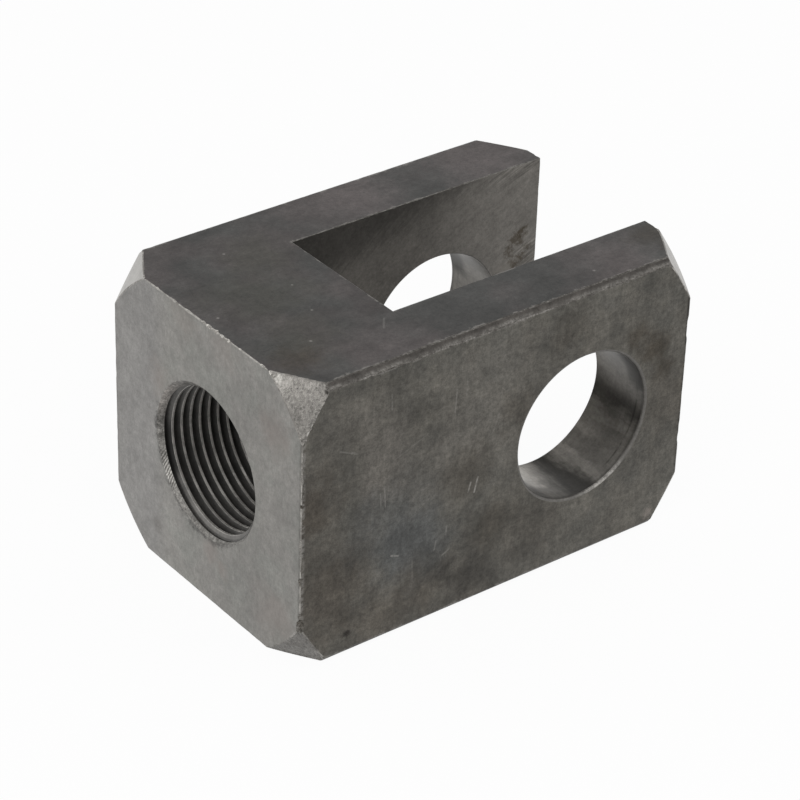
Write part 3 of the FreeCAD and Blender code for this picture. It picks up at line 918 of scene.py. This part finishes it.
def bore_holes(bar, sizes, sides=192):
    """Bore both arms for the pin and the solid end for the thread, and break the rims."""
    pin_start = Vector((0, LOW.y - CLEAR, 0))
    combine(bar, add_round(PIN_RADIUS, pin_start, -pin_start, sides), "bored")
    rod_start = Vector((LOW.x - CLEAR, 0, 0))
    rod_end = Vector((SLOT_FLOOR + CLEAR, 0, 0))
    combine(bar, add_round(BORE_RADIUS, rod_start, rod_end, sides), "thread")

    def on_pin_rim(side):
        return lambda place: near(abs(place.y), side) and near(from_pin(place), PIN_RADIUS)

    def on_thread_rim(face):
        return lambda place: near(place.x, face) and near(from_axis(place), BORE_RADIUS)

    for on_rim, width, finish, steps in (
        (on_pin_rim(HIGH.y), sizes.pin_outer_break, "rim", 3),
        (on_pin_rim(SLOT_HALF), sizes.pin_inner_break, "rim", 1),
        (on_thread_rim(LOW.x), MOUTH_RADIUS - BORE_RADIUS, "mouth", 1),
        (on_thread_rim(SLOT_FLOOR), sizes.exit_break, "mouth", 1),
    ):
        bevel_edges(bar, lambda edge: both_ends(edge, on_rim), width, finish, steps)


def is_worn_edge(edge, least=math.radians(30)):
    """Whether an edge stands out, turns by more than an angle and isn't part of a round rim."""
    return (edge.is_manifold and edge.calc_face_angle_signed(0) > least
            and not any(has_finish(face, "rim", "mouth") for face in edge.link_faces))


def divide_worn_edges(bar, spacing):
    """Divide every outer edge into short lengths that wear can move one by one."""
    work = bmesh.new()
    work.from_mesh(bar.data)
    flats = [face for face in work.faces if has_finish(face, "side", "top")]
    levels = [(face, *max((abs(part), axis, HIGH[axis] if part > 0 else LOW[axis])
                          for axis, part in enumerate(face.normal))[1:]) for face in flats]
    bmesh.ops.remove_doubles(work, verts=work.verts, dist=0.1 * MM)
    # Merging can pull a corner off its flat face, so each is put back on it
    for face, axis, level in levels:
        for vertex in face.verts:
            vertex.co[axis] = level
    by_cuts = {}
    for edge in work.edges:
        cuts = round(edge.calc_length() / spacing) - 1
        if cuts > 0 and is_worn_edge(edge):
            by_cuts.setdefault(cuts, []).append(edge)
    for cuts, edges in by_cuts.items():
        bmesh.ops.bisect_edges(work, edges=edges, cuts=cuts)
    work.to_mesh(bar.data)
    work.free()


def bite(place, sizes):
    """How far wear has eaten into an edge at a place: mostly little, with deeper chips."""
    gentle = noise.noise(place / (6 * MM)) * 0.5 + 0.5
    ragged = noise.noise(place / (1.1 * MM)) * 0.5 + 0.5
    chip = max(0.0, noise.noise(place / (2.6 * MM) + Vector((7, 3, 5))) - 0.25) * 3
    in_slot = abs(place.y) < SLOT_HALF + MM and place.x > SLOT_FLOOR - MM
    deepest = sizes.wear_depth * (sizes.slot_wear if in_slot else 1)
    return deepest * min(1.0, 0.75 * gentle * ragged + chip * chip)


def gather_tips(work, reach):
    """Merge the edge breaks' points at the tips of the turned corners, where they would cross."""
    for end, radius in ((LOW.x, THREADED_FACE_RADIUS), (HIGH.x, FORK_END_RADIUS)):
        half = math.sqrt(radius ** 2 - HIGH.y ** 2)
        for first, second in ((-1, -1), (-1, 1), (1, -1), (1, 1)):
            for tip in (Vector((end, first * HIGH.y, second * half)),
                        Vector((end, first * half, second * HIGH.z))):
                close = [vertex for vertex in work.verts if (vertex.co - tip).length < reach]
                middle = sum((vertex.co for vertex in close), Vector()) / len(close)
                bmesh.ops.pointmerge(work, verts=close, merge_co=middle)


def wear_edges(bar, sizes):
    """Break every outer edge and let wear eat unevenly into the faces beside it."""
    divide_worn_edges(bar, sizes.wear_spacing)
    bevel_edges(bar, is_worn_edge, sizes.edge_break, "edge", steps=2)
    work = bmesh.new()
    work.from_mesh(bar.data)
    gather_tips(work, 2 * sizes.edge_break)
    moves = []
    for vertex in work.verts:
        broken = [face.normal for face in vertex.link_faces if has_finish(face, "edge")]
        flats = [face.normal for face in vertex.link_faces if not has_finish(face, "edge")]
        if not broken:
            continue
        outward = sum(broken, Vector()).normalized()
        if not flats:
            moves.append((vertex, -outward * 0.7))
        elif all(flats[0].dot(normal) > 1 - 1e-5 for normal in flats):
            along = outward - outward.dot(flats[0]) * flats[0]
            if along.length > 0.1:
                moves.append((vertex, -along.normalized()))
    for vertex, move in moves:
        vertex.co += move * bite(vertex.co, sizes)
    work.to_mesh(bar.data)
    work.free()


def batter_corners(bar, sizes, spacing=0.4 * MM):
    """Roughen the two turned corners at the threaded end on the -Y side."""
    work = bmesh.new()
    work.from_mesh(bar.data)

    def on_corner():
        return [face for face in work.faces if has_finish(face, "turned", "battered")
                and face.calc_center_median().x < MIDDLE.x and face.normal.y < -TOUCH]

    span = [vertex.co.x for face in on_corner() for vertex in face.verts]
    for step in range(1, math.ceil((max(span) - min(span)) / spacing)):
        faces = on_corner()
        parts = {part for face in faces for part in (*face.verts, *face.edges)}
        bmesh.ops.bisect_plane(work, geom=[*faces, *parts], dist=TOUCH,
                               plane_co=(min(span) + step * spacing, 0, 0), plane_no=(1, 0, 0))
    corner = set(on_corner())
    for face in corner:
        face.material_index = SLOTS.index("battered")
    for vertex in {vertex for face in corner for vertex in face.verts}:
        if corner.issuperset(vertex.link_faces):
            lumps = noise.noise(vertex.co / (2.2 * MM)) + 0.6 * noise.noise(vertex.co / (0.8 * MM))
            vertex.co += vertex.normal * min(0.0, lumps - 0.35) * sizes.batter * 0.5
    work.to_mesh(bar.data)
    work.free()


def chip_edges(bar):
    """Knock the larger chips out of the edges."""
    chips = ((finish, *chip) for finish, group in CHIPS.items() for chip in group)
    for finish, place, outward, radius, depth in chips:
        way = Vector(outward).normalized()
        centre = (Vector(place) + way * (radius - depth)) * MM
        tool = add_shape(bpy.ops.mesh.primitive_ico_sphere_add, subdivisions=3,
                         radius=radius * MM, location=centre)
        for vertex in tool.data.vertices:
            lump = noise.noise(vertex.co / (0.5 * MM)) * min(0.5, 0.2 * radius)
            vertex.co += (vertex.co - centre).normalized() * lump * MM
        combine(bar, tool, finish)


def add_thread_cutter(sizes, steps=96):
    """Wind a closed V-shaped ridge that cuts the right-hand thread's groove."""
    inside = BORE_RADIUS - 0.4 * MM
    root = BORE_RADIUS + sizes.thread_depth
    half_root = sizes.root_flat / 2
    half_mouth = half_root + sizes.thread_depth * FLANK_SLOPE
    start = LOW.x + sizes.first_crest - 2.5 * sizes.pitch
    outline = [(-half_mouth, inside), (half_mouth, inside), (half_mouth, BORE_RADIUS),
               (half_root, root), (-half_root, root), (-half_mouth, BORE_RADIUS)]
    cutter = add_shape(bpy.ops.mesh.primitive_circle_add, vertices=len(outline))
    for vertex, (across, radius) in zip(cutter.data.vertices, outline):
        vertex.co = (start + across, radius, 0)
    screw = cutter.modifiers.new("thread", "SCREW")
    screw.axis = "X"
    screw.screw_offset = sizes.pitch
    screw.iterations = math.ceil((SLOT_FLOOR - start) / sizes.pitch) + 1
    screw.steps = screw.render_steps = steps
    bpy.ops.object.modifier_apply(modifier=screw.name)
    bpy.ops.object.mode_set(mode="EDIT")
    bpy.ops.mesh.select_all(action="SELECT")
    bpy.ops.mesh.fill_holes(sides=0)
    bpy.ops.mesh.normals_make_consistent(inside=False)
    bpy.ops.object.mode_set(mode="OBJECT")
    return cutter


class CLEVIS_OT_finish(bpy.types.Operator):
    """Mix the finishes that the tools leave on the steel"""
    bl_idname = "clevis.finish"
    bl_label = "Mix the Finishes"

    def execute(self, context):
        for mix in FINISHES.values():
            mix(context.scene.clevis_colours).done()
        return {"FINISHED"}


class CLEVIS_OT_model(bpy.types.Operator):
    """Model the fork head from the square bar to the cut thread"""
    bl_idname = "clevis.model"
    bl_label = "Model the Clevis"

    def execute(self, context):
        sizes = context.scene.clevis_sizes
        bar = saw_bar()
        turn_corners(bar)
        mill_slot(bar)
        bore_holes(bar, sizes)
        wear_edges(bar, sizes)
        batter_corners(bar, sizes)
        chip_edges(bar)
        combine(bar, add_thread_cutter(sizes), "thread")
        bar.name = bar.data.name = PIECE
        activate(bar)
        bpy.ops.object.shade_smooth_by_angle(angle=math.radians(12))
        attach(bar, "root")
        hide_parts(NODE)
        return {"FINISHED"}


def add_lamp(name, place, power):
    """Add a square soft lamp that points at the clevis."""
    lamp = bpy.data.lights.new(name, "AREA")
    lamp.size = LAMP_SIZE
    lamp.energy = power
    shown = bpy.data.objects.new(name, lamp)
    shown.location = place
    shown.rotation_euler = (MIDDLE - Vector(place)).to_track_quat("-Z", "Y").to_euler()
    bpy.context.scene.collection.objects.link(shown)


def add_camera(stage):
    """Add the camera at the photograph's viewing angle."""
    turn, tilt, roll = stage.azimuth, stage.elevation, stage.roll
    back = Vector((-math.sin(turn) * math.cos(tilt), -math.cos(turn) * math.cos(tilt),
                   math.sin(tilt)))
    right = Vector((math.cos(turn), -math.sin(turn), 0))
    up = back.cross(right)
    level = Matrix((right, up, back)).transposed()
    facing = level @ Matrix.Rotation(roll, 3, "Z")
    data = bpy.data.cameras.new("camera")
    data.lens = stage.lens
    data.sensor_width = 36
    data.clip_start = 10 * MM
    camera = bpy.data.objects.new("camera", data)
    place = MIDDLE - facing @ Vector((stage.right, stage.above, -stage.distance))
    camera.matrix_world = Matrix.LocRotScale(place, facing, None)
    bpy.context.scene.collection.objects.link(camera)
    bpy.context.scene.camera = camera


def show_white(tree, lit, white, output, whiteness=1.0):
    """Mix white into a lit shader for camera, glossy and transmission rays only."""
    path = tree.nodes.new("ShaderNodeLightPath")
    seen = path.outputs["Is Camera Ray"]
    for name in ("Is Glossy Ray", "Is Transmission Ray"):
        either = tree.nodes.new("ShaderNodeMath")
        either.operation = "MAXIMUM"
        tree.links.new(seen, either.inputs[0])
        tree.links.new(path.outputs[name], either.inputs[1])
        seen = either.outputs[0]
    part = tree.nodes.new("ShaderNodeMath")
    part.operation = "MULTIPLY"
    part.inputs[1].default_value = whiteness
    tree.links.new(seen, part.inputs[0])
    mix = tree.nodes.new("ShaderNodeMixShader")
    for source, socket in zip((part, lit, white), mix.inputs):
        tree.links.new(source.outputs[0], socket)
    tree.links.new(mix.outputs[0], tree.nodes[output].inputs["Surface"])


def white_world(room):
    """Light the clevis evenly from all round, and show plain white behind it."""
    world = bpy.data.worlds.new("room")
    world.use_nodes = True
    bpy.context.scene.world = world
    tree = world.node_tree
    lit = tree.nodes["Background"]
    lit.inputs["Strength"].default_value = room
    lit.inputs["Color"].default_value = (1, 1, 1, 1)
    white = tree.nodes.new("ShaderNodeBackground")
    white.inputs["Color"].default_value = (1, 1, 1, 1)
    show_white(tree, lit, white, "World Output")


def add_floor():
    """Add the pale floor that the clevis lies on; it shows white and keeps a soft shadow."""
    floor = add_shape(bpy.ops.mesh.primitive_plane_add, size=FLOOR_SIZE,
                      location=(MIDDLE.x, MIDDLE.y, LOW.z - TOUCH))
    floor.name = "floor"
    material = bpy.data.materials.new("pale_floor")
    material.use_nodes = True
    tree = material.node_tree
    paint = tree.nodes["Principled BSDF"]
    paint.inputs["Base Color"].default_value = (FLOOR_GREY, FLOOR_GREY, FLOOR_GREY, 1)
    paint.inputs["Roughness"].default_value = 0.9
    paint.inputs["Specular IOR Level"].default_value = 0
    white = tree.nodes.new("ShaderNodeEmission")
    show_white(tree, paint, white, "Material Output", FLOOR_WHITENESS)
    floor.data.materials.append(material)


class CLEVIS_OT_stage(bpy.types.Operator):
    """Set up the pale floor, the soft lamps and the camera"""
    bl_idname = "clevis.stage"
    bl_label = "Set the Stage"

    def execute(self, context):
        stage = context.scene.clevis_stage
        context.scene.view_settings.view_transform = "Standard"
        add_floor()
        white_world(stage.room)
        add_camera(stage)
        add_lamp("key", KEY_PLACE, stage.key)
        add_lamp("fill", FILL_PLACE, stage.fill)
        return {"FINISHED"}


class CLEVIS_PT_sidebar(bpy.types.Panel):
    """Sizes, colours and steps of the clevis"""
    bl_idname = "CLEVIS_PT_sidebar"
    bl_label = "Threaded Rod Clevis"
    bl_space_type = "VIEW_3D"
    bl_region_type = "UI"
    bl_category = "Clevis"

    def draw(self, context):
        for operator in OPERATORS:
            self.layout.operator(operator.bl_idname)
        for name, group in GROUPS.items():
            box = self.layout.box()
            for key in group.__annotations__:
                box.prop(getattr(context.scene, name), key)


OPERATORS = (CLEVIS_OT_finish, CLEVIS_OT_model, CLEVIS_OT_stage)
GROUPS = {"clevis_sizes": ClevisSizes, "clevis_colours": ClevisColours, "clevis_stage": ClevisStage}
CLASSES = (*GROUPS.values(), *OPERATORS, CLEVIS_PT_sidebar)


def register():
    for item in CLASSES:
        bpy.utils.register_class(item)
    for name, group in GROUPS.items():
        setattr(bpy.types.Scene, name, bpy.props.PointerProperty(type=group))


def unregister():
    for name in GROUPS:
        delattr(bpy.types.Scene, name)
    for item in reversed(CLASSES):
        bpy.utils.unregister_class(item)


def main():
    register()
    bpy.ops.clevis.finish()
    bpy.ops.clevis.model()
    bpy.ops.clevis.stage()


if __name__ == "__main__":
    main()
